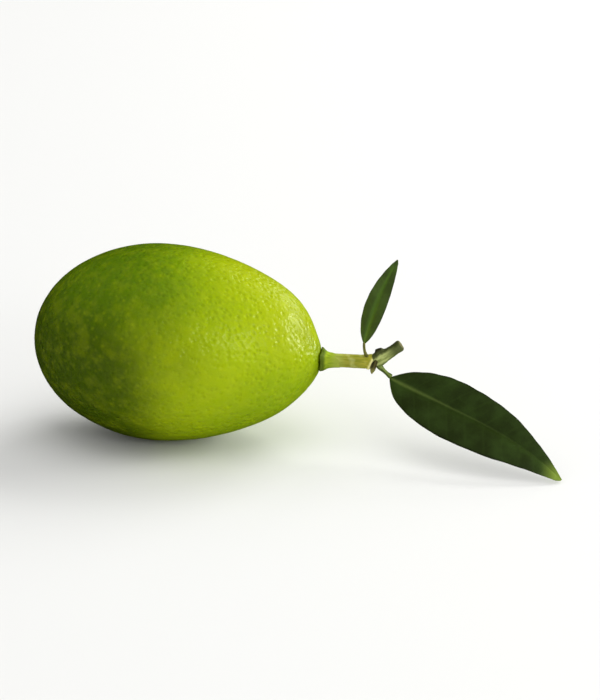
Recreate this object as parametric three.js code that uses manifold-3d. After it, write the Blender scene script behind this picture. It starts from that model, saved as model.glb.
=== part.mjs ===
// A limequat as it is picked: one oval fruit lying on its side, with its calyx, its stalk, the
// snipped end of the twig it grew on, a bud and two leaves.
//
// Millimetres, +Z up. The origin is the middle of the small flat where the skin presses on the
// surface. +X runs from the fruit towards its stalk. The larger leaf hangs down until its tip
// meets the surface, on the -Y side.
import * as THREE from "three";
import { mergeVertices } from "three/addons/utils/BufferGeometryUtils.js";
import Module from "manifold-3d";

// ---- Driving dimensions -------------------------------------------------------------------

// The fruit is widest nearer its blossom end and tapers more towards its stalk. It lies a
// little nose-down on that tapered side.
const FRUIT_LENGTH = 50;
const FRUIT_RADIUS = 17;
const BLOSSOM_REACH = 0.448 * FRUIT_LENGTH;
const STALK_REACH = FRUIT_LENGTH - BLOSSOM_REACH;
const BLOSSOM_FULLNESS = 2.1;
const STALK_FULLNESS = 1.82;
const ROUNDNESS = 2.05;
const LYING_TILT = THREE.MathUtils.degToRad(2.2);
const PRESSED_DEPTH = 0.12;

// Separate pieces stand this far apart where they meet.
const GAP = 0.3;

const CALYX_RADIUS = 2.2;
const CALYX_HEIGHT = 2.1;
const CALYX_RIM = 0.4;
const CALYX_LOBES = 5;
const LOBE_DEPTH = 0.1;

const STALK_RADIUS = 1.2;
const STALK_RIBS = 5;
const RIB_DEPTH = 0.06;

const TWIG_NODE_RADIUS = 1.4;
const TWIG_END_RADIUS = 0.95;
const PETIOLE_RADIUS = 0.42;
const YOUNG_PETIOLE_RADIUS = 0.28;
const BUD_RADIUS = 0.55;

const BLADE_THICKNESS = 0.4;
const NARROWEST = 0.4;

// Places on the sprig are measured from the middle of the fruit's widest section.
const TWIG_NODE = new THREE.Vector3(36.95, 0, -1.25);
const TWIG_END = new THREE.Vector3(41.3, 0.9, 1.8);
const BUD_FOOT = new THREE.Vector3(37.6, -1.55, -0.8);
const BUD_TIP = new THREE.Vector3(36.6, -1.35, -3.25);
const LOWER_LEAF_BASE = new THREE.Vector3(39.7, -0.6, -3.63);
const LOWER_LEAF_TIP = new THREE.Vector3(70.25, -10.3, -16.39);
const UPPER_LEAF_BASE = new THREE.Vector3(35.13, 0.05, 1.8);
const UPPER_LEAF_TIP = new THREE.Vector3(40.1, 3.95, 15.8);

// ---- Materials ----------------------------------------------------------------------------

function finish(color, roughness) {
  return new THREE.MeshStandardMaterial({ color, roughness, metalness: 0 });
}

const PEEL = finish(0x8faa12, 0.35);
const CALYX_GREEN = finish(0x7f9030, 0.55);
const STALK_OLIVE = finish(0x8c9840, 0.6);
const TWIG_BARK = finish(0x6f7a3c, 0.75);
const BUD_BROWN = finish(0x7a6a3a, 0.8);
const LEAF_DARK = finish(0x2f4418, 0.4);
const LEAF_YOUNG = finish(0x3f571f, 0.45);

// ---- Solids -------------------------------------------------------------------------------

const wasm = await Module();
wasm.setup();

function solidFrom(geometry) {
  const bare = geometry.clone();
  bare.deleteAttribute("normal");
  bare.deleteAttribute("uv");
  const merged = mergeVertices(bare, 1e-4);
  return new wasm.Manifold(
    new wasm.Mesh({
      numProp: 3,
      vertProperties: merged.attributes.position.array,
      triVerts: new Uint32Array(merged.index.array),
    }),
  );
}

function geometryFrom(solid) {
  const mesh = solid.getMesh();
  return new THREE.BufferGeometry()
    .setAttribute("position", new THREE.BufferAttribute(mesh.vertProperties, 3))
    .setIndex(new THREE.BufferAttribute(mesh.triVerts, 1));
}

function piece(name, geometry, material) {
  geometry.computeVertexNormals();
  const mesh = new THREE.Mesh(geometry, material);
  mesh.name = name;
  return mesh;
}

// A solid of revolution about +X, from (radius, distance along +X) pairs in rising order.
function turned(outline, sides) {
  const points = outline.map(([radius, along]) => new THREE.Vector2(radius, along));
  return new THREE.LatheGeometry(points, sides).rotateZ(-Math.PI / 2);
}

// The same, about the line from one point to another.
function turnedBetween(start, end, outline, sides) {
  const ahead = end.clone().sub(start).normalize();
  const turn = new THREE.Quaternion().setFromUnitVectors(new THREE.Vector3(1, 0, 0), ahead);
  return turned(outline, sides).applyQuaternion(turn).translate(start.x, start.y, start.z);
}

// A rod along a smooth curve through the places, round or with shallow ribs.
function rod(places, radius, sides, ribs = 0) {
  const section = [];
  for (let i = 0; i < sides; i++) {
    const around = (i / sides) * 2 * Math.PI;
    const rib = ribs === 0 ? 0 : RIB_DEPTH * Math.cos(ribs * around);
    const reach = radius * (1 + rib);
    section.push(new THREE.Vector2(reach * Math.cos(around), reach * Math.sin(around)));
  }
  const extrudePath = new THREE.CatmullRomCurve3(places);
  return new THREE.ExtrudeGeometry(new THREE.Shape(section), { steps: 8, extrudePath });
}

// Moves every corner of a geometry to where the rule sends it.
function reshape(geometry, rule) {
  const corners = geometry.attributes.position;
  for (let i = 0; i < corners.count; i++) {
    const moved = rule(new THREE.Vector3().fromBufferAttribute(corners, i));
    corners.setXYZ(i, moved.x, moved.y, moved.z);
  }
  return geometry;
}

// ---- Fruit --------------------------------------------------------------------------------

// Radius of the skin at a distance from the widest section, + towards the stalk.
function skinRadius(along) {
  const reach = along < 0 ? BLOSSOM_REACH : STALK_REACH;
  const fullness = along < 0 ? BLOSSOM_FULLNESS : STALK_FULLNESS;
  return FRUIT_RADIUS * (1 - Math.abs(along / reach) ** fullness) ** (1 / ROUNDNESS);
}

// How far along the axis the skin of the stalk end stands, at a distance from the axis.
function stalkEndAt(radius) {
  return STALK_REACH * (1 - (radius / FRUIT_RADIUS) ** ROUNDNESS) ** (1 / STALK_FULLNESS);
}

// The lowest place of the tilted skin, as seen from the middle of the widest section.
function lowestPlace() {
  const lowest = { below: 0, beside: 0 };
  for (let along = 0; along < STALK_REACH / 2; along += 0.01) {
    const radius = skinRadius(along);
    const below = along * Math.sin(LYING_TILT) + radius * Math.cos(LYING_TILT);
    if (below > lowest.below) {
      lowest.below = below;
      lowest.beside = along * Math.cos(LYING_TILT) - radius * Math.sin(LYING_TILT);
    }
  }
  return lowest;
}

const LOWEST = lowestPlace();
const FRUIT_MIDDLE = new THREE.Vector3(-LOWEST.beside, 0, LOWEST.below - PRESSED_DEPTH);

function makeFruit() {
  const steps = 26;
  const outline = [];
  for (let i = 0; i <= steps; i++) {
    const swing = Math.sin(((2 * i) / steps - 1) * (Math.PI / 2));
    const along = (swing < 0 ? BLOSSOM_REACH : STALK_REACH) * swing;
    outline.push([i % steps === 0 ? 0 : skinRadius(along), along]);
  }
  const up = [-Math.sin(LYING_TILT), 0, Math.cos(LYING_TILT)];
  const pressed = solidFrom(turned(outline, 48)).trimByPlane(up, -FRUIT_MIDDLE.z);
  return piece("fruit", geometryFrom(pressed), PEEL);
}

// ---- Calyx --------------------------------------------------------------------------------

// A flared, five-lobed cup that follows the fruit's end and narrows to the stalk.
function makeCalyx() {
  const cup = turned(
    [
      [0, 0],
      [0.5 * CALYX_RADIUS, 0],
      [CALYX_RADIUS, 0],
      [CALYX_RADIUS, CALYX_RIM],
      [0.76 * CALYX_RADIUS, 0.4 * CALYX_HEIGHT],
      [0.58 * CALYX_RADIUS, 0.7 * CALYX_HEIGHT],
      [STALK_RADIUS, CALYX_HEIGHT],
      [0, CALYX_HEIGHT],
    ],
    30,
  );
  reshape(cup, (corner) => {
    const radius = Math.hypot(corner.y, corner.z);
    const around = Math.atan2(corner.z, corner.y);
    const outwards = Math.max(0, (2 * radius) / CALYX_RADIUS - 1);
    const stretch = 1 + LOBE_DEPTH * outwards * Math.cos(CALYX_LOBES * around);
    const height = stalkEndAt(radius * stretch) + GAP + corner.x;
    return new THREE.Vector3(height, corner.y * stretch, corner.z * stretch);
  });
  return piece("calyx", cup, CALYX_GREEN);
}

// ---- Stalk, twig and bud ------------------------------------------------------------------

// The stalk leaves the calyx along the fruit's axis and runs into the side of the twig's node.
const STALK_START = new THREE.Vector3(STALK_REACH + CALYX_HEIGHT + 2 * GAP, 0, 0).applyAxisAngle(
  new THREE.Vector3(0, 1, 0),
  LYING_TILT,
);
const STALK_SAG = new THREE.Vector3(0, 0, -0.25);

function stalkRod(grown = 0) {
  const middle = STALK_START.clone().lerp(TWIG_NODE, 0.5).add(STALK_SAG);
  const beyond = TWIG_NODE.clone().setX(TWIG_NODE.x + 1);
  return rod([STALK_START, middle, TWIG_NODE, beyond], STALK_RADIUS + grown, 20, STALK_RIBS);
}

function makeStalk() {
  const end = TWIG_NODE.x - GAP / 2;
  const trimmed = solidFrom(stalkRod()).trimByPlane([-1, 0, 0], -end);
  return piece("fruit_stem", geometryFrom(trimmed), STALK_OLIVE);
}

// Thick at the node and slimmer at the snipped end. It is made too long at the node, where the
// trim gives it an upright face.
function twigRod(grown = 0) {
  const length = TWIG_NODE.distanceTo(TWIG_END);
  const outline = [
    [0, -2 - grown],
    [TWIG_NODE_RADIUS + grown, -2 - grown],
    [TWIG_NODE_RADIUS + grown, 0.3 * length],
    [0.87 * TWIG_NODE_RADIUS + grown, 0.55 * length],
    [TWIG_END_RADIUS + grown, 0.8 * length],
    [TWIG_END_RADIUS + grown, length + grown],
    [0, length + grown],
  ];
  return turnedBetween(TWIG_NODE, TWIG_END, outline, 20);
}

function trimmedTwig(grown = 0) {
  const start = TWIG_NODE.x + GAP / 2 - grown;
  return solidFrom(twigRod(grown)).trimByPlane([1, 0, 0], start);
}

function makeTwig() {
  return piece("twig", geometryFrom(trimmedTwig()), TWIG_BARK);
}

// Cuts a piece back to the gap's width from the stalk and the twig.
function clearOfSprig(geometry) {
  const cut = solidFrom(geometry).subtract(solidFrom(stalkRod(GAP))).subtract(trimmedTwig(GAP));
  return geometryFrom(cut);
}

function makeBud() {
  const length = BUD_FOOT.distanceTo(BUD_TIP);
  const outline = [
    [0, 0],
    [0.8 * BUD_RADIUS, 0],
    [BUD_RADIUS, 0.35 * length],
    [0.8 * BUD_RADIUS, 0.65 * length],
    [0.35 * BUD_RADIUS, 0.9 * length],
    [0, length],
  ];
  const bud = turnedBetween(BUD_FOOT, BUD_TIP, outline, 12);
  return piece("axillary_bud", clearOfSprig(bud), BUD_BROWN);
}

// ---- Leaves -------------------------------------------------------------------------------

// A blade's own frame has +X from its base to its tip, +Y to its left edge, +Z out of its face.
// Its half width at a share t of its length goes as t to the power of swell, times 1 - t to the
// power of taper. The midrib bows to the left and arches upwards, and the edges lift a little.
const LOWER_LEAF = {
  base: LOWER_LEAF_BASE,
  tip: LOWER_LEAF_TIP,
  roll: THREE.MathUtils.degToRad(40),
  left: { width: 4.8, swell: 0.72, taper: 1.2 },
  right: { width: 5.9, swell: 0.62, taper: 0.9 },
  bow: 0.9,
  arch: 1.35,
  lift: 0.06,
};
const UPPER_LEAF = {
  base: UPPER_LEAF_BASE,
  tip: UPPER_LEAF_TIP,
  roll: THREE.MathUtils.degToRad(18),
  left: { width: 2.3, swell: 0.75, taper: 1 },
  right: { width: 2.4, swell: 0.75, taper: 0.9 },
  bow: 0.3,
  arch: 0.5,
  lift: 0.1,
};

function halfWidth({ width, swell, taper }, t) {
  const widest = swell / (swell + taper);
  const share = (t / widest) ** swell * ((1 - t) / (1 - widest)) ** taper;
  return Math.max(NARROWEST, width * share);
}

function bladeTurn({ base, tip, roll }) {
  const ahead = tip.clone().sub(base).normalize();
  const level = new THREE.Vector3(-ahead.y, ahead.x, 0).normalize();
  const left = level.applyAxisAngle(ahead, roll);
  const face = ahead.clone().cross(left);
  const frame = new THREE.Matrix4().makeBasis(ahead, left, face);
  return new THREE.Quaternion().setFromRotationMatrix(frame);
}

function makeBlade(name, leaf, material) {
  const length = leaf.base.distanceTo(leaf.tip);
  const plate = new THREE.BoxGeometry(1, 2, BLADE_THICKNESS, 22, 6, 1);
  reshape(plate, (corner) => {
    const t = corner.x + 0.5;
    const hump = 4 * t * (1 - t);
    const across = corner.y * halfWidth(corner.y > 0 ? leaf.left : leaf.right, t);
    const height = leaf.arch * hump + leaf.lift * Math.abs(across);
    return new THREE.Vector3(t * length, across + leaf.bow * hump, height + corner.z);
  });
  const blade = piece(name, plate, material);
  blade.position.copy(leaf.base);
  blade.quaternion.copy(bladeTurn(leaf));
  return blade;
}

function makeLowerPetiole() {
  const route = [
    new THREE.Vector3(37.75, -0.3, -2),
    new THREE.Vector3(38.5, -0.4, -3.03),
    new THREE.Vector3(39.38, -0.5, -3.5),
  ];
  const petiole = clearOfSprig(rod(route, PETIOLE_RADIUS, 8));
  return piece("lower_petiole", petiole, STALK_OLIVE);
}

function makeUpperPetiole() {
  const route = [
    new THREE.Vector3(36.35, -0.3, -0.3),
    new THREE.Vector3(35.5, -0.2, 0.5),
    new THREE.Vector3(35.13, 0, 1.45),
  ];
  const petiole = clearOfSprig(rod(route, YOUNG_PETIOLE_RADIUS, 8));
  return piece("upper_petiole", petiole, STALK_OLIVE);
}

// ---- Assembly -----------------------------------------------------------------------------

const lying = new THREE.Group();
lying.rotation.y = LYING_TILT;
lying.add(makeFruit(), makeCalyx());

const sprig = new THREE.Group();
sprig.add(
  makeStalk(),
  makeTwig(),
  makeBud(),
  makeLowerPetiole(),
  makeBlade("lower_leaf", LOWER_LEAF, LEAF_DARK),
  makeUpperPetiole(),
  makeBlade("upper_leaf", UPPER_LEAF, LEAF_YOUNG),
);

const limequat = new THREE.Group();
limequat.name = "limequat";
limequat.add(lying, sprig);
for (const branch of limequat.children) branch.position.copy(FRUIT_MIDDLE);

export default limequat;
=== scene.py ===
"""A limequat lying on its side: fruit, calyx, stalk, snipped twig end, bud and two leaves."""

import math

import bpy
from mathutils import Matrix, Vector


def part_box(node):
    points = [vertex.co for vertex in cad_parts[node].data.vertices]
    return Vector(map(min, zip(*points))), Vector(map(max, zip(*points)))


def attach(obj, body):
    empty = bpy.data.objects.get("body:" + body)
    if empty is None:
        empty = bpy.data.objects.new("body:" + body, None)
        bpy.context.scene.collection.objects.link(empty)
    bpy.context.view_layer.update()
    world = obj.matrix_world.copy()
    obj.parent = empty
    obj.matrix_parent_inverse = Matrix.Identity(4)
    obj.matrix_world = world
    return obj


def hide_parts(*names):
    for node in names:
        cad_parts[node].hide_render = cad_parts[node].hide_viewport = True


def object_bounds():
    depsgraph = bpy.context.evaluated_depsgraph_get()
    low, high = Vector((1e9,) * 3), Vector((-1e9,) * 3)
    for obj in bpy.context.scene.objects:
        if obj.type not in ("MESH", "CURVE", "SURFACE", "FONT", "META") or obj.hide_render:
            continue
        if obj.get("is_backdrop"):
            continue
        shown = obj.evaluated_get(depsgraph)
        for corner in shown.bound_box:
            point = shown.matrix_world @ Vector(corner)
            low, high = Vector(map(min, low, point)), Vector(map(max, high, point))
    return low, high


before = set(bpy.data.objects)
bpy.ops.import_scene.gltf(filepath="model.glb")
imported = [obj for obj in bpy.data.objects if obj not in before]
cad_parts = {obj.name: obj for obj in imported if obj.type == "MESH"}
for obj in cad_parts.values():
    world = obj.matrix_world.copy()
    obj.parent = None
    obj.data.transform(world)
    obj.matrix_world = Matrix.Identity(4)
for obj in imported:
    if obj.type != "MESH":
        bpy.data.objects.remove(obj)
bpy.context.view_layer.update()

MM = 0.001

# ---- Sizes, in metres ----------------------------------------------------------------------

FRUIT_RADIUS = 17.0 * MM
BLOSSOM_REACH = 22.4 * MM
STALK_REACH = 27.3 * MM
LYING_TILT = math.radians(1.0)

# The stalk end hangs a little lower than the belly's axis and is drawn out to a small neck.
STALK_END_DROOP = 1.0 * MM
STALK_END_NECK = 0.45 * MM

# The fruit slims by a small share around its shoulder, towards the stalk.
SHOULDER = 0.55 * STALK_REACH
SHOULDER_SLIMMING = 0.978
BLOSSOM_DIMPLE = 0.4 * MM

# The points of a CAD solid that count as its end lie this close to its edge.
END_DEPTH = 0.3 * MM

# Oil glands in the skin: how far apart they are, how much of that a pit takes, and its depth.
GLAND_SPACING = 0.95 * MM
GLAND_REACH = 0.6
GLAND_DEPTH = 0.07 * MM

# Sides of the rods, which the ribs and lobes divide evenly.
STALK_SIDES = 20
TWIG_SIDES = 18
SMALL_SIDES = 12

# A leaf's outline would meet a little beyond its tip, which is cut short by a small round end.
TIP_BEYOND = 1.025
TIP_RADIUS = 0.8 * MM
TIP_HALF_WIDTH = 0.15 * MM

# A blade's rise off its midrib, as shares of its half width: a fold, an arch and lifted margins.
BLADE_FOLD = 0.04
BLADE_ARCH = 0.05
MARGIN_LIFT = 0.06

# Every third row of a blade is a side vein, sunk a little and short of a full row's width.
ROWS_PER_VEIN = 3
VEIN_SINK = 0.05 * MM
VEIN_REACH = 0.99

# The viewing angle, in degrees, and the camera's distance and lens.
VIEW_AZIMUTH = 10
VIEW_ELEVATION = 20
CAMERA_DISTANCE = 0.65
LENS = 195


# ---- Working by hand -----------------------------------------------------------------------


def start_fresh():
    bpy.ops.object.select_all(action="DESELECT")


def named(name):
    piece = bpy.context.object
    piece.name = piece.data.name = name
    return piece


def pick(piece, rule):
    """Selects the points that pass the rule, and leaves the piece in edit mode."""
    bpy.context.view_layer.objects.active = piece
    bpy.ops.object.mode_set(mode="EDIT")
    bpy.ops.mesh.select_all(action="DESELECT")
    bpy.ops.object.mode_set(mode="OBJECT")
    for point in piece.data.vertices:
        point.select = rule(point)
    bpy.ops.object.mode_set(mode="EDIT")


def stop_editing():
    bpy.ops.object.mode_set(mode="OBJECT")


def pull_softly(way, reach):
    """Moves the picked points, and those within reach of them less and less."""
    bpy.ops.transform.translate(
        value=way,
        use_proportional_edit=True,
        proportional_edit_falloff="SMOOTH",
        proportional_size=reach,
    )


def modify(piece, kind, **settings):
    """Adds a modifier, sets it up and applies it."""
    bpy.context.view_layer.objects.active = piece
    bpy.ops.object.modifier_add(type=kind)
    modifier = piece.modifiers[-1]
    for setting, value in settings.items():
        setattr(modifier, setting, value)
    bpy.ops.object.modifier_apply(modifier=modifier.name)


def smooth(piece, levels):
    modify(piece, "SUBSURF", levels=levels, render_levels=levels)
    bpy.ops.object.shade_smooth()


def roughen(piece, size, strength):
    """Pushes the surface in and out by a soft noise whose lumps are about one size."""
    texture = bpy.data.textures.new(f"{piece.name}_lumps", "CLOUDS")
    texture.noise_scale = size
    modify(piece, "DISPLACE", texture=texture, strength=strength, texture_coords="LOCAL")
    bpy.data.textures.remove(texture)


def rod(name, stations, sides):
    """A closed rod along +X with a ring at each (distance, radius) station, both in mm."""
    (here, radius), *further = [(x * MM, r * MM) for x, r in stations]
    start_fresh()
    bpy.ops.mesh.primitive_circle_add(
        vertices=sides,
        radius=radius,
        fill_type="NGON",
        location=(here, 0, 0),
        rotation=(0, math.pi / 2, 0),
    )
    bpy.ops.object.transform_apply()
    piece = named(name)
    bpy.ops.object.mode_set(mode="EDIT")
    bpy.ops.mesh.select_all(action="SELECT")
    for there, wider in further:
        bpy.ops.mesh.extrude_region_move(TRANSFORM_OT_translate={"value": (there - here, 0, 0)})
        share = wider / radius
        bpy.ops.transform.resize(value=(1, share, share), center_override=(there, 0, 0))
        here, radius = there, wider
    bpy.ops.mesh.select_all(action="SELECT")
    bpy.ops.mesh.normals_make_consistent(inside=False)
    stop_editing()
    return piece


def side_of(point, sides):
    """Which side of a rod a point stands on, counted around the rod's axis from +Y."""
    return round(math.atan2(point.co.z, point.co.y) / (2 * math.pi) % 1 * sides)


def swell(piece, rule, share):
    """Moves the picked points of a rod away from its axis, or towards it."""
    pick(piece, rule)
    bpy.ops.transform.resize(value=(1, share, share), center_override=(0, 0, 0))
    stop_editing()


def sprout(piece, rule, steps):
    """Grows the picked faces outwards in steps, each a way to go in mm and a change of size."""
    pick(piece, rule)
    for way, share in steps:
        step = Vector(way) * MM
        bpy.ops.mesh.extrude_region_move(TRANSFORM_OT_translate={"value": step})
        bpy.ops.transform.resize(value=(share, share, share))
    stop_editing()


def lay_along(piece, start, end, first_bend, second_bend, roll=0.0):
    """Bends a straight piece onto a smooth curve, with its +Z towards the sky before the roll."""
    third = (end - start) / 3
    bpy.ops.curve.primitive_bezier_curve_add()
    curve = bpy.context.object
    curve.data.resolution_u = 64
    curve.data.twist_mode = "Z_UP"
    curve.data.use_stretch = True
    curve.data.use_deform_bounds = True
    first, last = curve.data.splines[0].bezier_points
    for knot, place, reach in (
        (first, start, third + first_bend),
        (last, end, third - second_bend),
    ):
        knot.handle_left_type = knot.handle_right_type = "FREE"
        knot.co = place
        knot.handle_left = place - reach
        knot.handle_right = place + reach
        knot.tilt = roll
    modify(piece, "CURVE", object=curve, deform_axis="POS_X")
    bpy.data.objects.remove(curve)


def put(piece, matrix):
    """Places a piece and keeps the place in its mesh."""
    start_fresh()
    piece.select_set(True)
    bpy.context.view_layer.objects.active = piece
    piece.matrix_world = matrix
    bpy.ops.object.transform_apply()


def aimed(start, end):
    """The matrix that stands a straight rod at its start and aims it at its end."""
    turn = (end - start).to_track_quat("X", "Z").to_matrix().to_4x4()
    return Matrix.Translation(start) @ turn


def end_of(node, axis, highest):
    """The middle of a CAD node's end: its lowest or highest points along one axis."""
    low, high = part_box(node)
    edge = high[axis] if highest else low[axis]
    points = [p.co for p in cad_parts[node].data.vertices if abs(p.co[axis] - edge) < END_DEPTH]
    return sum(points, Vector()) / len(points)


def mm(x, y, z):
    return Vector((x, y, z)) * MM


def stands_for(piece, node, slot, *materials):
    """Gives a piece its materials, hangs it from the root body and hides the CAD node it stands for."""
    piece.data.materials.clear()
    for material in materials:
        piece.data.materials.append(material)
    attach(piece, "root")
    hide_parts(node)


# ---- Building up a finish ------------------------------------------------------------------


def paint(code):
    """Linear colour from a hexadecimal sRGB code."""
    shares = [int(code[i : i + 2], 16) / 255 for i in (0, 2, 4)]
    linear = [s / 12.92 if s <= 0.04045 else ((s + 0.055) / 1.055) ** 2.4 for s in shares]
    return (*linear, 1.0)


class Finish:
    """A material on one Principled shader, with its pattern built up node by node."""

    def __init__(self, name, roughness, **sockets):
        self.material = bpy.data.materials.new(name)
        self.material.use_nodes = True
        self.nodes = self.material.node_tree.nodes
        self.links = self.material.node_tree.links
        self.shader = self.nodes["Principled BSDF"]
        self.shader.inputs["Roughness"].default_value = roughness
        for socket, value in sockets.items():
            self.shader.inputs[socket.replace("_", " ")].default_value = value
        self.place = self.add("TexCoord").outputs["Object"]

    def feed(self, socket, value):
        """Links a node's output to a socket, or sets the socket to a number or a colour code."""
        if isinstance(value, bpy.types.NodeSocket):
            self.links.new(value, socket)
        else:
            socket.default_value = paint(value) if isinstance(value, str) else value

    def add(self, kind, settings=(), **sockets):
        node = self.nodes.new(f"ShaderNode{kind}")
        for setting, value in dict(settings).items():
            setattr(node, setting, value)
        for socket, value in sockets.items():
            self.feed(node.inputs[socket.replace("_", " ")], value)
        return node

    def math(self, operation, first, second=0.0, third=0.0):
        node = self.add("Math", {"operation": operation})
        for socket, value in zip(node.inputs, (first, second, third)):
            self.feed(socket, value)
        return node.outputs[0]

    def split(self, vector):
        return self.add("SeparateXYZ", Vector=vector).outputs

    def aimed_place(self, matrix):
        """Object coordinates in a rod's own frame, with X along it."""
        settings = {"vector_type": "TEXTURE"}
        start, turn = matrix.to_translation(), matrix.to_euler()
        return self.add("Mapping", settings, Vector=self.place, Location=start, Rotation=turn).outputs[0]

    def away_from(self, spot):
        """Distance from a spot on the piece."""
        node = self.add("VectorMath", {"operation": "DISTANCE"})
        self.feed(node.inputs[0], self.place)
        self.feed(node.inputs[1], spot)
        return node.outputs["Value"]

    def noise(self, size, detail=3.0, place=None):
        """Soft noise between 0 and 1 whose lumps are about one size, in metres."""
        place = place or self.place
        return self.add("TexNoise", Vector=place, Scale=1 / size, Detail=detail).outputs[0]

    def cells(self, size, feature="F1"):
        """Distance to the nearest of many scattered spots, as a share of their spacing."""
        settings = {"feature": feature}
        return self.add("TexVoronoi", settings, Vector=self.place, Scale=1 / size).outputs["Distance"]

    def between(self, value, low, high, start=0.0, end=1.0):
        """Rises smoothly from start to end as the value goes from low to high."""
        node = self.add("MapRange", {"interpolation_type": "SMOOTHSTEP"}, Value=value)
        for socket, number in zip(node.inputs[1:5], (low, high, start, end)):
            self.feed(socket, number)
        return node.outputs[0]

    def blend(self, share, first, second):
        """The first colour where the share is 0, and the second where it is 1."""
        node = self.add("Mix", {"data_type": "RGBA"})
        # The node has the same socket names for numbers and vectors, so colours go by place.
        self.feed(node.inputs[0], share)
        self.feed(node.inputs[6], first)
        self.feed(node.inputs[7], second)
        return node.outputs[2]

    def raised(self, height, distance, below=None):
        """A normal bumped by a height between 0 and 1, on top of the bumps below it."""
        node = self.add("Bump", Height=height, Distance=distance)
        if below is not None:
            self.links.new(below, node.inputs["Normal"])
        return node.outputs[0]

    def done(self, colour, normal=None, roughness=None):
        """Links what was built up to the shader, and returns the material."""
        self.feed(self.shader.inputs["Base Color"], colour)
        if normal is not None:
            self.feed(self.shader.inputs["Normal"], normal)
            self.feed(self.shader.inputs["Coat Normal"], normal)
        if roughness is not None:
            self.feed(self.shader.inputs["Roughness"], roughness)
        return self.material


# ---- Peel ----------------------------------------------------------------------------------


def ripening_and_painted_shade(peel):
    """Deep green at the blossom end and along the top, yellower towards the stalk; the dark side towards
    the blossom end is partly the peel's own green and partly painted shade.
    """
    across, _, height = peel.split(peel.place)
    clouds = peel.math("SUBTRACT", peel.noise(12 * MM, 2.0), 0.5)
    drift = peel.math("MULTIPLY_ADD", clouds, 12 * MM, across)
    slant = peel.math("MULTIPLY_ADD", height, -0.1, drift)
    # The dark green towards the blossom end is partly the peel's deeper green and partly painted shade
    # on the side turned away from the light.
    shade = peel.blend(peel.between(slant, -10 * MM, 13 * MM), "425800", "A2B800")
    topside = peel.between(height, 20 * MM, 32 * MM, 0.0, 0.55)
    shade = peel.blend(topside, shade, "668C00")
    low_end = peel.between(peel.math("SUBTRACT", drift, height), -6 * MM, 14 * MM, 0.0, 0.8)
    shade = peel.blend(low_end, shade, "7E9C00")
    high_end = peel.between(peel.math("ADD", drift, height), 35 * MM, 50 * MM, 0.0, 0.9)
    return peel.blend(high_end, shade, "9EAC00")


def speckled(peel, shade):
    """Fine yellow mottling and flecks, and a darker spot in each oil gland."""
    mottle = peel.between(peel.noise(2.2 * MM, 4.0), 0.42, 0.68, 0.0, 0.12)
    shade = peel.blend(mottle, shade, "B8C400")
    fleck = peel.between(peel.cells(1.3 * MM), 0.0, 0.38, 0.1, 0.0)
    shade = peel.blend(fleck, shade, "C8D410")
    gland = peel.between(peel.cells(GLAND_SPACING), 0.1, 0.4, 0.08, 0.0)
    return peel.blend(gland, shade, "466200")


def end_marks_and_calyx_shade(peel, shade, blossom_end, stalk_end):
    """A brown scar in a paler ring at the blossom end, and a darker ring of painted shade under the
    calyx.
    """
    off_scar = peel.away_from(blossom_end)
    halo = peel.between(off_scar, 1.4 * MM, 4.0 * MM, 0.5, 0.0)
    shade = peel.blend(halo, shade, "6E7C14")
    scar = peel.between(off_scar, 0.5 * MM, 1.1 * MM, 1.0, 0.0)
    shade = peel.blend(scar, shade, "5A4420")
    # Painted shade: the peel is darkened where the calyx sits on it.
    calyx_shade = peel.between(peel.away_from(stalk_end), 2.0 * MM, 4.5 * MM, 0.45, 0.0)
    return peel.blend(calyx_shade, shade, "5A7408")


def peel_finish(blossom_end, stalk_end):
    """Glossy citrus peel, pitted by its oil glands."""
    peel = Finish(
        "limequat_peel",
        0.35,
        Specular_IOR_Level=0.4,
        Specular_Tint=(0.95, 1.0, 0.45, 1.0),
        Subsurface_Weight=0.08,
        Subsurface_Radius=(0.6, 1.0, 0.1),
        Subsurface_Scale=1.2 * MM,
        Coat_Weight=0.2,
        Coat_Roughness=0.16,
        Coat_Tint=(1.0, 1.0, 0.9, 1.0),
    )
    shade = speckled(peel, ripening_and_painted_shade(peel))
    shade = end_marks_and_calyx_shade(peel, shade, blossom_end, stalk_end)
    lumps = peel.raised(peel.noise(1.3 * MM, 2.0), 0.13 * MM)
    grain = peel.raised(peel.cells(0.45 * MM), 0.03 * MM, lumps)
    pits = peel.between(peel.cells(GLAND_SPACING), 0.0, GLAND_REACH)
    roughness = peel.between(peel.noise(1.2 * MM), 0.35, 0.65, 0.28, 0.42)
    return peel.done(shade, peel.raised(pits, GLAND_DEPTH, grain), roughness)


# ---- Barks ---------------------------------------------------------------------------------


def streaks_along(bark, matrix, width):
    """Lengthwise streaks and the rod's own coordinates."""
    own = bark.aimed_place(matrix)
    squeezed = bark.add("Mapping", Vector=own, Scale=(0.12, 1, 1)).outputs[0]
    return own, bark.noise(width, 4.0, squeezed)


def calyx_finish(matrix):
    """Yellow-green, with a darker rim of painted shade where the lobes lie on the fruit."""
    bark = Finish("calyx_green", 0.5, Specular_IOR_Level=0.2)
    own, streaks = streaks_along(bark, matrix, 0.4 * MM)
    along = bark.split(own)[0]
    shade = bark.blend(bark.between(streaks, 0.35, 0.65), "789408", "98AC1C")
    neck = bark.between(along, 1.2 * MM, 2.8 * MM, 0.0, 0.9)
    shade = bark.blend(neck, shade, "9CAA3C")
    # Painted shade: the rim is darkened where the lobes meet the fruit.
    rim = bark.between(along, 0.5 * MM, 1.1 * MM, 0.9, 0.0)
    shade = bark.blend(rim, shade, "4C5E08")
    return bark.done(shade, bark.raised(streaks, 0.1 * MM))


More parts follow.
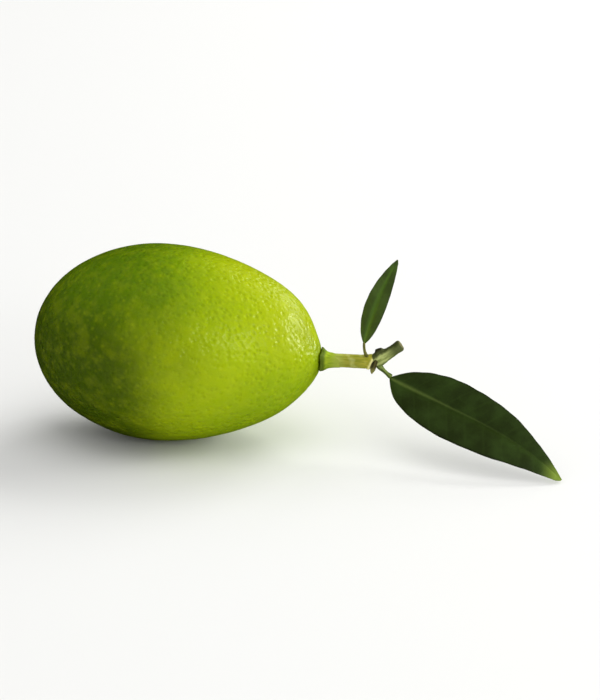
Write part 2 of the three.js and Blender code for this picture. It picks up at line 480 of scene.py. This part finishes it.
def stalk_finish(matrix, length):
    """Green at the calyx, olive in the middle, and a pale ring at the twig."""
    bark = Finish("stalk_olive", 0.55, Specular_IOR_Level=0.3)
    own, streaks = streaks_along(bark, matrix, 0.4 * MM)
    along, _, above = bark.split(own)
    middle = bark.between(along, 0.15 * length, 0.45 * length)
    shade = bark.blend(middle, "B4C056", "9C9A2E")
    far = bark.between(along, 0.6 * length, 0.85 * length)
    shade = bark.blend(far, shade, "B8AE38")
    dark_streaks = bark.between(streaks, 0.42, 0.62, 0.55, 0.0)
    shade = bark.blend(dark_streaks, shade, "76820F")
    pale_patches = bark.between(bark.noise(1.3 * MM, 2.0), 0.5, 0.7, 0.0, 0.35)
    shade = bark.blend(pale_patches, shade, "CCD084")
    slanted = bark.math("MULTIPLY_ADD", above, -0.45, along)
    ring = bark.between(slanted, length - 1.1 * MM, length - 0.6 * MM, 0.0, 0.95)
    shade = bark.blend(ring, shade, "F4EEA0")
    return bark.done(shade, bark.raised(streaks, 0.12 * MM))


def twig_finish(matrix, length):
    """Bark dark on top, where it is corky and in painted shade, and a little darker underneath in
    painted shade, so its pale green middle stands for the lit side; with a cut end.
    """
    bark = Finish("twig_bark", 0.7, Specular_IOR_Level=0.3)
    own, streaks = streaks_along(bark, matrix, 0.45 * MM)
    along, _, above = bark.split(own)
    shade = bark.blend(bark.between(streaks, 0.38, 0.62), "7E8A42", "B0BA70")
    far = bark.between(along, 0.4 * length, 0.8 * length, 0.0, 0.9)
    shade = bark.blend(far, shade, "4A5426")
    ragged = bark.math("MULTIPLY_ADD", bark.noise(0.9 * MM, 3.0), 0.8 * MM, above)
    # Painted shade on the upper side, over its darker corky bark.
    corky_shaded_top = bark.between(ragged, 0.7 * MM, 1.15 * MM, 0.0, 0.9)
    shade = bark.blend(corky_shaded_top, shade, "3C421A")
    # Painted shade: the underside is darkened a little.
    under = bark.between(ragged, -0.6 * MM, -0.1 * MM, 0.6, 0.0)
    shade = bark.blend(under, shade, "56642A")
    nub = bark.between(above, 1.05 * MM, 1.45 * MM, 0.0, 0.9)
    shade = bark.blend(nub, shade, "221C0E")
    cut = bark.between(along, length - 0.3 * MM, length - 0.05 * MM, 0.0, 0.8)
    shade = bark.blend(cut, shade, "4A4C24")
    off_pith = bark.away_from(matrix @ Vector((length, 0, 0)))
    wood = bark.between(off_pith, 0.6 * MM, 0.8 * MM, 0.9, 0.0)
    shade = bark.blend(wood, shade, "706E40")
    pith = bark.between(off_pith, 0.18 * MM, 0.32 * MM, 0.8, 0.0)
    shade = bark.blend(pith, shade, "5C4C28")
    return bark.done(shade, bark.raised(streaks, 0.15 * MM))


def bud_finish(matrix, length):
    """Brown scales with a greener tip."""
    bark = Finish("bud_brown", 0.7, Specular_IOR_Level=0.3)
    own, streaks = streaks_along(bark, matrix, 0.3 * MM)
    along = bark.split(own)[0]
    shade = bark.blend(bark.between(streaks, 0.35, 0.65), "2A260C", "544E1E")
    tip = bark.between(along, 0.45 * length, 0.8 * length)
    shade = bark.blend(tip, shade, "7E7C3C")
    return bark.done(shade, bark.raised(streaks, 0.1 * MM))


def petiole_finish(name, matrix, dark, pale):
    """A green leaf stalk, streaked along its length."""
    bark = Finish(name, 0.55, Specular_IOR_Level=0.3)
    _, streaks = streaks_along(bark, matrix, 0.25 * MM)
    shade = bark.blend(bark.between(streaks, 0.35, 0.65), dark, pale)
    return bark.done(shade, bark.raised(streaks, 0.08 * MM))


# ---- Leaf faces ----------------------------------------------------------------------------


def vein_places(leaf, veins):
    """Shares of the way along, off the midrib, and off the nearest side vein."""
    along, width, _ = leaf.split(leaf.add("TexCoord").outputs["UV"])
    off_midrib = leaf.math("ABSOLUTE", leaf.math("SUBTRACT", width, 0.5))
    wander = leaf.math("MULTIPLY_ADD", leaf.noise(3 * MM), 0.3, leaf.math("MULTIPLY", along, veins))
    tooth = leaf.math("FRACT", leaf.math("SUBTRACT", wander, 0.15))
    off_vein = leaf.math("ABSOLUTE", leaf.math("SUBTRACT", tooth, 0.333))
    return along, off_midrib, off_vein


def middle_stripe(leaf, off_midrib, strength):
    """A broad streaky stripe on both sides of the midrib."""
    uv = leaf.add("TexCoord").outputs["UV"]
    drawn_out = leaf.add("Mapping", Vector=uv, Scale=(3, 40, 1)).outputs[0]
    streaks = leaf.between(leaf.noise(1.0, 3.0, drawn_out), 0.3, 0.6, 0.5, 1.0)
    stripe = leaf.math("MULTIPLY", leaf.between(off_midrib, 0.02, 0.2, 1.0, 0.0), strength)
    return leaf.math("MULTIPLY", stripe, streaks)


def midrib_line(leaf, along, off_midrib):
    """A pale line that thins and fades on its way to the tip."""
    width = leaf.between(along, 0.0, 0.45, 0.085, 0.025)
    strength = leaf.between(along, 0.0, 0.65, 0.55, 0.06)
    return leaf.math("MULTIPLY", leaf.between(off_midrib, 0.0, width, 1.0, 0.0), strength)


def leaf_upper_finish(name, veins, colours, stripe):
    """The waxy upper face: faint midrib and side veins, a dark margin and a tip colour of its own, which
    on the large leaf is partly painted light.
    """
    leaf = Finish(name, 0.42, Specular_IOR_Level=0.25)
    deep, fresh, rib, tip = colours
    along, off_midrib, off_vein = vein_places(leaf, veins)
    patches = leaf.between(leaf.noise(3.5 * MM, 4.0), 0.35, 0.75)
    shade = leaf.blend(patches, deep, fresh)
    shade = leaf.blend(middle_stripe(leaf, off_midrib, stripe), shade, rib)
    side_veins = leaf.between(off_vein, 0.02, 0.1, 0.1, 0.0)
    shade = leaf.blend(side_veins, shade, rib)
    shade = leaf.blend(midrib_line(leaf, along, off_midrib), shade, "687A34")
    margin = leaf.between(off_midrib, 0.45, 0.5, 0.0, 0.6)
    shade = leaf.blend(margin, shade, "161E08")
    # Towards the tip the blade turns to the rib colour and then the tip colour; the large leaf's light
    # tip colour is partly painted light shining through the thin tip, while the small leaf's tip is
    # darker.
    near_tip = leaf.between(along, 0.72, 0.92, 0.0, 0.5)
    shade = leaf.blend(near_tip, shade, rib)
    at_tip = leaf.between(along, 0.8, 0.95, 0.0, 0.9)
    shade = leaf.blend(at_tip, shade, tip)
    net = leaf.raised(leaf.cells(0.9 * MM, "DISTANCE_TO_EDGE"), 0.03 * MM)
    pores = leaf.raised(leaf.noise(0.4 * MM, 3.0), 0.03 * MM, net)
    return leaf.done(shade, pores)


def leaf_under_finish(name, veins):
    """The paler, duller underside with its raised veins."""
    leaf = Finish(name, 0.6, Specular_IOR_Level=0.3)
    _, off_midrib, off_vein = vein_places(leaf, veins)
    shade = leaf.blend(leaf.noise(3 * MM, 4.0), "4E6630", "647C40")
    side_veins = leaf.between(off_vein, 0.03, 0.16, 0.5, 0.0)
    shade = leaf.blend(side_veins, shade, "8A9A58")
    midrib = leaf.between(off_midrib, 0.01, 0.04, 0.8, 0.0)
    shade = leaf.blend(midrib, shade, "97A562")
    net = leaf.raised(leaf.cells(0.9 * MM, "DISTANCE_TO_EDGE"), 0.04 * MM)
    return leaf.done(shade, net)


# ---- Fruit ---------------------------------------------------------------------------------


def press_glands(fruit):
    """Sinks a small pit into the skin at each oil gland."""
    tree = bpy.data.node_groups.new("oil_glands", "GeometryNodeTree")
    tree.interface.new_socket("Skin", in_out="INPUT", socket_type="NodeSocketGeometry")
    tree.interface.new_socket("Skin", in_out="OUTPUT", socket_type="NodeSocketGeometry")
    skin_in = tree.nodes.new("NodeGroupInput")
    skin_out = tree.nodes.new("NodeGroupOutput")
    place = tree.nodes.new("GeometryNodeInputPosition")
    facing = tree.nodes.new("GeometryNodeInputNormal")
    glands = tree.nodes.new("ShaderNodeTexVoronoi")
    glands.inputs["Scale"].default_value = 1 / GLAND_SPACING
    depth = tree.nodes.new("ShaderNodeMapRange")
    depth.interpolation_type = "SMOOTHSTEP"
    depth.inputs["From Max"].default_value = GLAND_REACH
    depth.inputs["To Min"].default_value = -GLAND_DEPTH
    depth.inputs["To Max"].default_value = 0.0
    push = tree.nodes.new("ShaderNodeVectorMath")
    push.operation = "SCALE"
    sink = tree.nodes.new("GeometryNodeSetPosition")
    link = tree.links.new
    link(place.outputs[0], glands.inputs["Vector"])
    link(glands.outputs["Distance"], depth.inputs["Value"])
    link(facing.outputs[0], push.inputs["Vector"])
    link(depth.outputs["Result"], push.inputs["Scale"])
    link(push.outputs["Vector"], sink.inputs["Offset"])
    link(skin_in.outputs[0], sink.inputs["Geometry"])
    link(sink.outputs[0], skin_out.inputs[0])
    modify(fruit, "NODES", node_group=tree)
    bpy.data.node_groups.remove(tree)


def shape_fruit():
    """A ball drawn out to a slim stalk end, with a small dimple at the blossom end."""
    start_fresh()
    bpy.ops.mesh.primitive_cube_add(size=FRUIT_RADIUS)
    fruit = named("limequat_fruit")
    bpy.ops.object.mode_set(mode="EDIT")
    bpy.ops.mesh.subdivide(number_cuts=30)
    stop_editing()
    modify(fruit, "CAST", factor=1, radius=0, size=FRUIT_RADIUS, use_radius_as_size=False)
    pick(fruit, lambda point: point.co.x > 0)
    bpy.ops.transform.resize(value=(STALK_REACH / FRUIT_RADIUS, 1, 1), center_override=(0, 0, 0))
    pick(fruit, lambda point: point.co.x < 0)
    bpy.ops.transform.resize(value=(BLOSSOM_REACH / FRUIT_RADIUS, 1, 1), center_override=(0, 0, 0))
    pick(fruit, lambda point: abs(point.co.x - SHOULDER) < 0.6 * MM)
    bpy.ops.transform.resize(
        value=(1, SHOULDER_SLIMMING, SHOULDER_SLIMMING),
        center_override=(SHOULDER, 0, 0),
        use_proportional_edit=True,
        proportional_edit_falloff="SMOOTH",
        proportional_size=0.6 * STALK_REACH,
    )
    pick(fruit, lambda point: point.co.x < 1 * MM - BLOSSOM_REACH and point.co.yz.length < 1 * MM)
    pull_softly((BLOSSOM_DIMPLE, 0, 0), 3.5 * MM)
    for way, reach in (((0, 0, -STALK_END_DROOP), 9 * MM), ((STALK_END_NECK, 0, 0), 5 * MM)):
        pick(fruit, lambda point: point.co.x > STALK_REACH - 0.1 * MM)
        pull_softly(way, reach)
    stop_editing()
    smooth(fruit, 2)
    roughen(fruit, 16 * MM, 0.35 * MM)
    return fruit


def press_flat(fruit):
    """The patch of skin that the fruit lies on is pressed flat."""
    pick(fruit, lambda point: point.co.z < 0)
    bpy.ops.transform.resize(value=(1, 1, 0), center_override=(0, 0, 0))
    stop_editing()


def make_fruit():
    """The fruit as it lies. Returns the place of its stalk end."""
    fruit = shape_fruit()
    tilt = Matrix.Rotation(LYING_TILT, 4, "Y")
    put(fruit, tilt)
    low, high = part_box("fruit")
    highest = max(point.co.z for point in fruit.data.vertices)
    shift = Vector((low.x + BLOSSOM_REACH, 0, high.z - highest))
    put(fruit, Matrix.Translation(shift))
    press_glands(fruit)
    press_flat(fruit)
    bpy.ops.object.shade_smooth()
    blossom_end = shift + tilt @ Vector((-BLOSSOM_REACH, 0, 0))
    stalk_end = shift + tilt @ Vector((STALK_REACH + STALK_END_NECK, 0, -STALK_END_DROOP))
    stands_for(fruit, "fruit", "peel", peel_finish(blossom_end, stalk_end))
    return stalk_end


# ---- Calyx, stalk, twig and bud ------------------------------------------------------------


def rib(point):
    """Where a point stands on a rod with five ribs or lobes: 0 on a crest and 2 in a furrow."""
    return side_of(point, STALK_SIDES) % (STALK_SIDES // 5)


def on_rim(point):
    """Whether a point of the calyx is on the outer edge that lies on the fruit."""
    return point.co.x < 0.5 * MM and point.co.yz.length > 1.8 * MM


def on_neck(point):
    """Whether a point of the calyx is on the part that draws in to the stalk."""
    return point.co.x > 1.3 * MM


def make_calyx(stalk_end):
    """Five blunt lobes that lie on the fruit's stalk end and draw in to the stalk."""
    stations = [(0.0, 1.4), (0.0, 2.0), (0.15, 2.15), (0.4, 2.02), (0.65, 1.78), (1.0, 1.54)]
    stations += [(1.5, 1.38), (2.2, 1.27), (2.8, 1.21), (3.3, 1.17), (3.6, 1.02), (3.62, 0.5)]
    calyx = rod("limequat_calyx", stations, STALK_SIDES)
    swell(calyx, lambda point: on_rim(point) and rib(point) == 0, 1.1)
    swell(calyx, lambda point: on_rim(point) and rib(point) == 2, 0.84)
    pick(calyx, lambda point: on_rim(point) and rib(point) == 0)
    bpy.ops.transform.translate(value=(-0.18 * MM, 0, 0))
    stop_editing()
    swell(calyx, lambda point: on_neck(point) and rib(point) == 0, 1.08)
    swell(calyx, lambda point: on_neck(point) and rib(point) == 2, 0.95)
    smooth(calyx, 2)
    roughen(calyx, 0.7 * MM, 0.1 * MM)
    place = Matrix.Translation(stalk_end) @ Matrix.Rotation(LYING_TILT, 4, "Y")
    put(calyx, place)
    stands_for(calyx, "calyx", "calyx_green", calyx_finish(place))


def make_stalk():
    """The fruit's own stalk, ribbed, with a slanted collar where it joins the twig."""
    stations = [(0, 0.6), (0.2, 0.9), (1.3, 1.12), (2.2, 1.18), (3.4, 1.17), (4.8, 1.16), (6.2, 1.2)]
    stations += [(7.0, 1.24), (7.3, 1.3), (7.5, 1.4), (7.9, 1.42), (8.1, 1.3), (8.15, 0.8)]
    collar_start, collar_middle = 7.25 * MM, 7.6 * MM
    collar_slant = math.radians(27)
    stalk = rod("limequat_stalk", stations, STALK_SIDES)
    swell(stalk, lambda point: rib(point) == 0, 1.08)
    swell(stalk, lambda point: rib(point) == 2, 0.94)
    pick(stalk, lambda point: point.co.x > collar_start)
    bpy.ops.transform.rotate(
        value=-collar_slant, orient_axis="Y", center_override=(collar_middle, 0, 0)
    )
    stop_editing()
    smooth(stalk, 2)
    # Its near end is hidden in the calyx, and its collar laps over the twig.
    start = end_of("fruit_stem", 0, False) - mm(1.4, 0, 0.15)
    end = end_of("fruit_stem", 0, True) + mm(0.3, 0, 0)
    lay_along(stalk, start, end, mm(0, 0, -0.2), mm(0, 0, -0.2))
    roughen(stalk, 0.8 * MM, 0.1 * MM)
    finish = stalk_finish(aimed(start, end), (end - start).length)
    stands_for(stalk, "fruit_stem", "stalk_olive", finish)


def under_nub(point):
    """Whether a point of the straight twig is on the patch that the nub grows from."""
    return 1.0 * MM < point.co.x < 2.7 * MM and point.co.z > 0.6 * MM


def make_twig():
    """The snipped twig: thick at the node, with a corky nub on top and a cut end."""
    stations = [(0, 0.7), (0, 0.95), (0.5, 1.28), (1.1, 1.32), (1.8, 1.16), (2.6, 1.02), (3.6, 0.94)]
    stations += [(4.4, 0.92), (5.0, 1.0), (5.4, 0.96), (5.55, 0.8), (5.58, 0.5), (5.48, 0.2)]
    twig = rod("limequat_twig", stations, TWIG_SIDES)
    sprout(twig, under_nub, [((0, 0, 0.35), 0.9), ((0.05, 0, 0.25), 0.8), ((0.05, 0, 0.1), 0.6)])
    ribbed_from = 1.9 * MM
    swell(twig, lambda point: point.co.x > ribbed_from and side_of(point, TWIG_SIDES) % 3 == 0, 1.08)
    smooth(twig, 2)
    # It starts inside the stalk's collar and ends at the middle of the slanted cut.
    start = end_of("fruit_stem", 0, True) - mm(0.15, 0, 0)
    end = (end_of("twig", 0, True) + end_of("twig", 2, True)) / 2 + mm(0.15, 0, 0)
    lay_along(twig, start, end, mm(0.1, 0, -0.35), mm(0, 0, -0.2))
    roughen(twig, 0.9 * MM, 0.15 * MM)
    finish = twig_finish(aimed(start, end), (end - start).length)
    stands_for(twig, "twig", "twig_bark", finish)


def make_bud():
    """A small hooked bud scale, flat against the node."""
    stations = [(0, 0.2), (0.15, 0.34), (0.6, 0.42), (1.1, 0.5), (1.6, 0.52), (2.1, 0.42), (2.5, 0.24)]
    stations += [(2.8, 0.06)]
    flattening = 0.7
    bud = rod("limequat_bud", stations, SMALL_SIDES)
    swell(bud, lambda point: side_of(point, SMALL_SIDES) % 3 == 0, 1.12)
    pick(bud, lambda point: True)
    bpy.ops.transform.resize(value=(1, flattening, 1), center_override=(0, 0, 0))
    stop_editing()
    smooth(bud, 2)
    # It starts inside the node.
    start = end_of("axillary_bud", 2, True) + mm(-0.05, 0.6, 0.2)
    end = end_of("axillary_bud", 2, False)
    lay_along(bud, start, end, mm(-0.25, 0, 0), mm(-0.15, 0, 0))
    roughen(bud, 0.5 * MM, 0.12 * MM)
    finish = bud_finish(aimed(start, end), (end - start).length)
    stands_for(bud, "axillary_bud", "bud_brown", finish)


# ---- Leaves --------------------------------------------------------------------------------


def half_width(half, share, length):
    """Width of one half of a blade at a share of its length, with a small round end at its tip.

    A half is its widest width and how steeply it swells from the base and tapers to the tip.
    """
    widest, swelling, taper = half
    peak = swelling / (swelling + taper)
    inside = min(max(share, 0.0), 1.0) / TIP_BEYOND
    width = widest * (inside / peak) ** swelling * ((1 - inside) / (1 - peak)) ** taper
    from_tip = min(max(1 - share, 0.0) * length, TIP_RADIUS)
    return min(width, math.sqrt(from_tip * (2 * TIP_RADIUS - from_tip)) * width / TIP_RADIUS)


def row_width(half, share, steepness, length):
    """Width at which a row that leaves the midrib at a share of the length meets the outline.

    The row runs forwards by its steepness, so its width is closed in on step by step.
    """
    width = 0.0
    for _ in range(16):
        width = (width + half_width(half, share + width * steepness / length, length)) / 2
    return width


def along_blade(share):
    """Where a row stands along a blade: rows lie closer together towards both ends."""
    return 0.5 * share + 0.25 * (1 - math.cos(math.pi * share))


class Blade:
    """A leaf along +X, shaped from a grid whose cross rows run along its side veins."""

    def __init__(self, name, length, halves, veins, columns, slant):
        self.rows = ROWS_PER_VEIN * veins
        self.middle = columns // 2
        self.length = length
        self.halves = halves
        self.slant = slant
        self.widest = max(widest for widest, _, _ in halves)
        start_fresh()
        bpy.ops.mesh.primitive_grid_add(x_subdivisions=self.rows, y_subdivisions=columns, size=2)
        self.piece = named(name)
        size = Matrix.Diagonal((length / 2, self.widest, 1, 1))
        put(self.piece, size @ Matrix.Translation((1, 0, 0)))

    def row(self, point):
        return point.index % (self.rows + 1)

    def column(self, point):
        """Counts off the midrib, up towards +Y and down towards -Y."""
        return point.index // (self.rows + 1) - self.middle

    def is_vein(self, row):
        return row % ROWS_PER_VEIN == 1

    def fold(self):
        """Lifts both halves off the midrib."""
        for step in range(1, self.middle + 1):
            share = step / self.middle
            lift = BLADE_FOLD + BLADE_ARCH * math.sin(math.pi * share) + MARGIN_LIFT * share
            pick(self.piece, lambda point: abs(self.column(point)) == step)
            bpy.ops.transform.translate(value=(0, 0, lift * self.widest))

    def spread(self, row):
        """Moves one row to its place, turns its halves forwards and gives them their width."""
        share = along_blade(row / self.rows)
        hub = (share * self.length, 0, 0)
        slant = self.slant if row < self.rows else 0.0
        pick(self.piece, lambda point: self.row(point) == row)
        bpy.ops.transform.translate(value=((share - row / self.rows) * self.length, 0, 0))
        for half, facing in zip(self.halves, (1, -1)):
            width = row_width(half, share, math.tan(slant), self.length)
            stretch = max(width, TIP_HALF_WIDTH) / self.widest / math.cos(slant)
            if self.is_vein(row):
                stretch *= VEIN_REACH
            pick(self.piece, lambda point: self.row(point) == row and self.column(point) * facing > 0)
            bpy.ops.transform.resize(value=(1, stretch, stretch), center_override=hub)
            bpy.ops.transform.rotate(value=facing * slant, orient_axis="Z", center_override=hub)
            if self.is_vein(row):
                bpy.ops.transform.translate(value=(0, 0, -VEIN_SINK))

    def thicken(self, thickness):
        """Gives the blade its thickness: most at the midrib, less at the veins, least between."""
        ribs = self.piece.vertex_groups.new(name="ribs")
        for point in self.piece.data.vertices:
            share = 0.2 if self.is_vein(self.row(point)) else 0.0
            if self.column(point) == 0:
                share = 1 - 0.6 * self.row(point) / self.rows
            ribs.add([point.index], share, "REPLACE")
        modify(
            self.piece,
            "SOLIDIFY",
            thickness=thickness,
            offset=-1,
            vertex_group="ribs",
            thickness_vertex_group=0.4,
            material_offset=1,
            material_offset_rim=1,
        )


def make_blade(name, length, halves, veins, columns, slant, thickness):
    """A straight leaf along +X, folded at its midrib. The first of its halves is towards +Y."""
    blade = Blade(name, length, halves, veins, columns, slant)
    blade.fold()
    for row in range(blade.rows + 1):
        blade.spread(row)
    stop_editing()
    blade.thicken(thickness)
    smooth(blade.piece, 2)
    return blade.piece


def make_lower_leaf():
    """The large leaf, which hangs down until its tip meets the surface."""
    base = end_of("lower_leaf", 0, False)
    tip = end_of("lower_leaf", 0, True) + mm(0.35, -0.9, 0)
    halves = (5.0 * MM, 0.72, 1.22), (5.95 * MM, 0.67, 0.96)
    veins, columns, slant, thickness = 12, 16, math.radians(32), 0.5 * MM
    length = (tip - base).length
    leaf = make_blade("limequat_lower_leaf", length, halves, veins, columns, slant, thickness)
    roughen(leaf, 9 * MM, 0.5 * MM)
    lay_along(leaf, base, tip, mm(0.12, -0.15, 0.45), mm(1.1, -1.2, 3.8), math.radians(40))
    # The last colour, the light tip, is partly painted light shining through the thin tip.
    colours = "233008", "2D4010", "3C541A", "7A902E"
    upper = leaf_upper_finish("leaf_dark", veins, colours, 0.15)
    under = leaf_under_finish("leaf_dark_under", veins)
    stands_for(leaf, "lower_leaf", "leaf_dark", upper, under)


def make_upper_leaf():
    """The small leaf, which stands up."""
    base = end_of("upper_leaf", 2, False)
    tip = end_of("upper_leaf", 2, True) + mm(0.12, 0, 0.2)
    halves = (2.3 * MM, 0.75, 1.0), (2.4 * MM, 0.75, 0.88)
    veins, columns, slant, thickness = 8, 12, math.radians(30), 0.36 * MM
    length = (tip - base).length
    leaf = make_blade("limequat_upper_leaf", length, halves, veins, columns, slant, thickness)
    lay_along(leaf, base, tip, mm(-0.6, -0.25, 0.3), mm(-0.6, -0.25, 0.3), math.radians(18))
    colours = "3E501E", "4C6228", "587E22", "3C4C24"
    upper = leaf_upper_finish("leaf_young", veins, colours, 0.6)
    under = leaf_under_finish("leaf_young_under", veins)
    stands_for(leaf, "upper_leaf", "leaf_young", upper, under)


def make_lower_petiole():
    """Swells out of the node and thickens again at its joint with the blade."""
    stations = [(0, 0.4), (0.2, 0.6), (0.7, 0.55), (1.2, 0.44), (1.7, 0.37), (2.3, 0.35)]
    stations += [(2.75, 0.42), (3.0, 0.5), (3.25, 0.44), (3.35, 0.2)]
    petiole = rod("limequat_lower_petiole", stations, SMALL_SIDES)
    smooth(petiole, 2)
    # It starts inside the node and ends under the blade's base.
    start = end_of("lower_petiole", 0, False) + mm(-0.35, 0.2, 1.1)
    end = end_of("lower_leaf", 0, False) + mm(0.4, -0.05, 0.1)
    lay_along(petiole, start, end, mm(0, 0, -0.25), mm(0, 0, -0.15))
    roughen(petiole, 0.7 * MM, 0.06 * MM)
    finish = petiole_finish("petiole_green", aimed(start, end), "3E5214", "76883A")
    stands_for(petiole, "lower_petiole", "petiole_green", finish)


def make_upper_petiole():
    """Lies along the stalk from the collar and then turns up to the small leaf."""
    stations = [(0, 0.3), (0.1, 0.42), (0.8, 0.36), (1.5, 0.28), (2.4, 0.23), (3.0, 0.25), (3.2, 0.15)]
    petiole = rod("limequat_upper_petiole", stations, SMALL_SIDES)
    smooth(petiole, 2)
    # It starts inside the stalk's far end and ends inside the blade's base.
    start = end_of("upper_petiole", 0, True) + mm(0.35, -0.1, -1.3)
    end = end_of("upper_leaf", 2, False) + mm(0.02, 0, 0.35)
    lay_along(petiole, start, end, mm(-0.7, 0, 0), mm(-0.4, 0, -0.3))
    finish = petiole_finish("petiole_olive", aimed(start, end), "56561A", "82803A")
    stands_for(petiole, "upper_petiole", "petiole_green", finish)


# ---- Studio --------------------------------------------------------------------------------


def seen_from(azimuth, elevation):
    """The direction from the object to a viewer. Azimuth 0 looks along +Y."""
    turn, rise = math.radians(azimuth), math.radians(elevation)
    flat = math.cos(rise)
    return Vector((math.sin(turn) * flat, -math.cos(turn) * flat, math.sin(rise)))


def turned_to(direction):
    """The turn that makes a camera or a light look along a direction."""
    return direction.to_track_quat("-Z", "Y").to_euler()


def make_camera(target):
    towards = seen_from(VIEW_AZIMUTH, VIEW_ELEVATION)
    bpy.ops.object.camera_add(location=target + towards * CAMERA_DISTANCE)
    camera = bpy.context.object
    camera.rotation_euler = turned_to(-towards)
    camera.data.lens = LENS
    bpy.context.scene.camera = camera


def softbox(name, target, azimuth, elevation, distance, size, power, glossy=True):
    """A square light with its distance and size in metres. Only a glossy one is mirrored."""
    towards = seen_from(azimuth, elevation)
    bpy.ops.object.light_add(type="AREA", location=target + towards * distance)
    light = bpy.context.object
    light.name = name
    light.rotation_euler = turned_to(-towards)
    light.data.size = size
    light.data.energy = power
    light.visible_glossy = glossy


def make_lights(target):
    softbox("key", target, 114, 15, 1.0, 0.45, 7.2)
    softbox("front", target, 65, 0, 1.2, 0.8, 5.0, glossy=False)
    softbox("rim", target, 150, 40, 1.2, 0.6, 5.0, glossy=False)
    softbox("edge", target, 153, 20, 1.2, 0.35, 0.9)
    softbox("window", target, 41, 23, 1.0, 0.3, 1.2)
    softbox("overhead", target, 40, 75, 1.2, 1.0, 3.6, glossy=False)


def make_floor():
    start_fresh()
    bpy.ops.mesh.primitive_plane_add(size=6)
    floor = named("floor")
    floor.data.materials.append(Finish("floor_white", 0.9).done("E6E6E4"))
    floor.visible_glossy = False
    floor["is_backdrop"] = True


def make_sky():
    """An even white glow that lights the object but isn't mirrored in it."""
    world = bpy.data.worlds.new("studio")
    bpy.context.scene.world = world
    world.use_nodes = True
    world.node_tree.nodes["Background"].inputs["Color"].default_value = (1, 1, 1, 1)
    world.node_tree.nodes["Background"].inputs["Strength"].default_value = 0.6
    world.cycles_visibility.glossy = False


def make_studio():
    low, high = (Vector(corner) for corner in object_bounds())
    target = (low + high) / 2
    make_camera(target)
    make_lights(target)
    make_floor()
    make_sky()
    bpy.context.scene.view_settings.view_transform = "Standard"


make_studio()
make_calyx(make_fruit())
make_stalk()
make_twig()
make_bud()
make_lower_petiole()
make_upper_petiole()
make_lower_leaf()
make_upper_leaf()
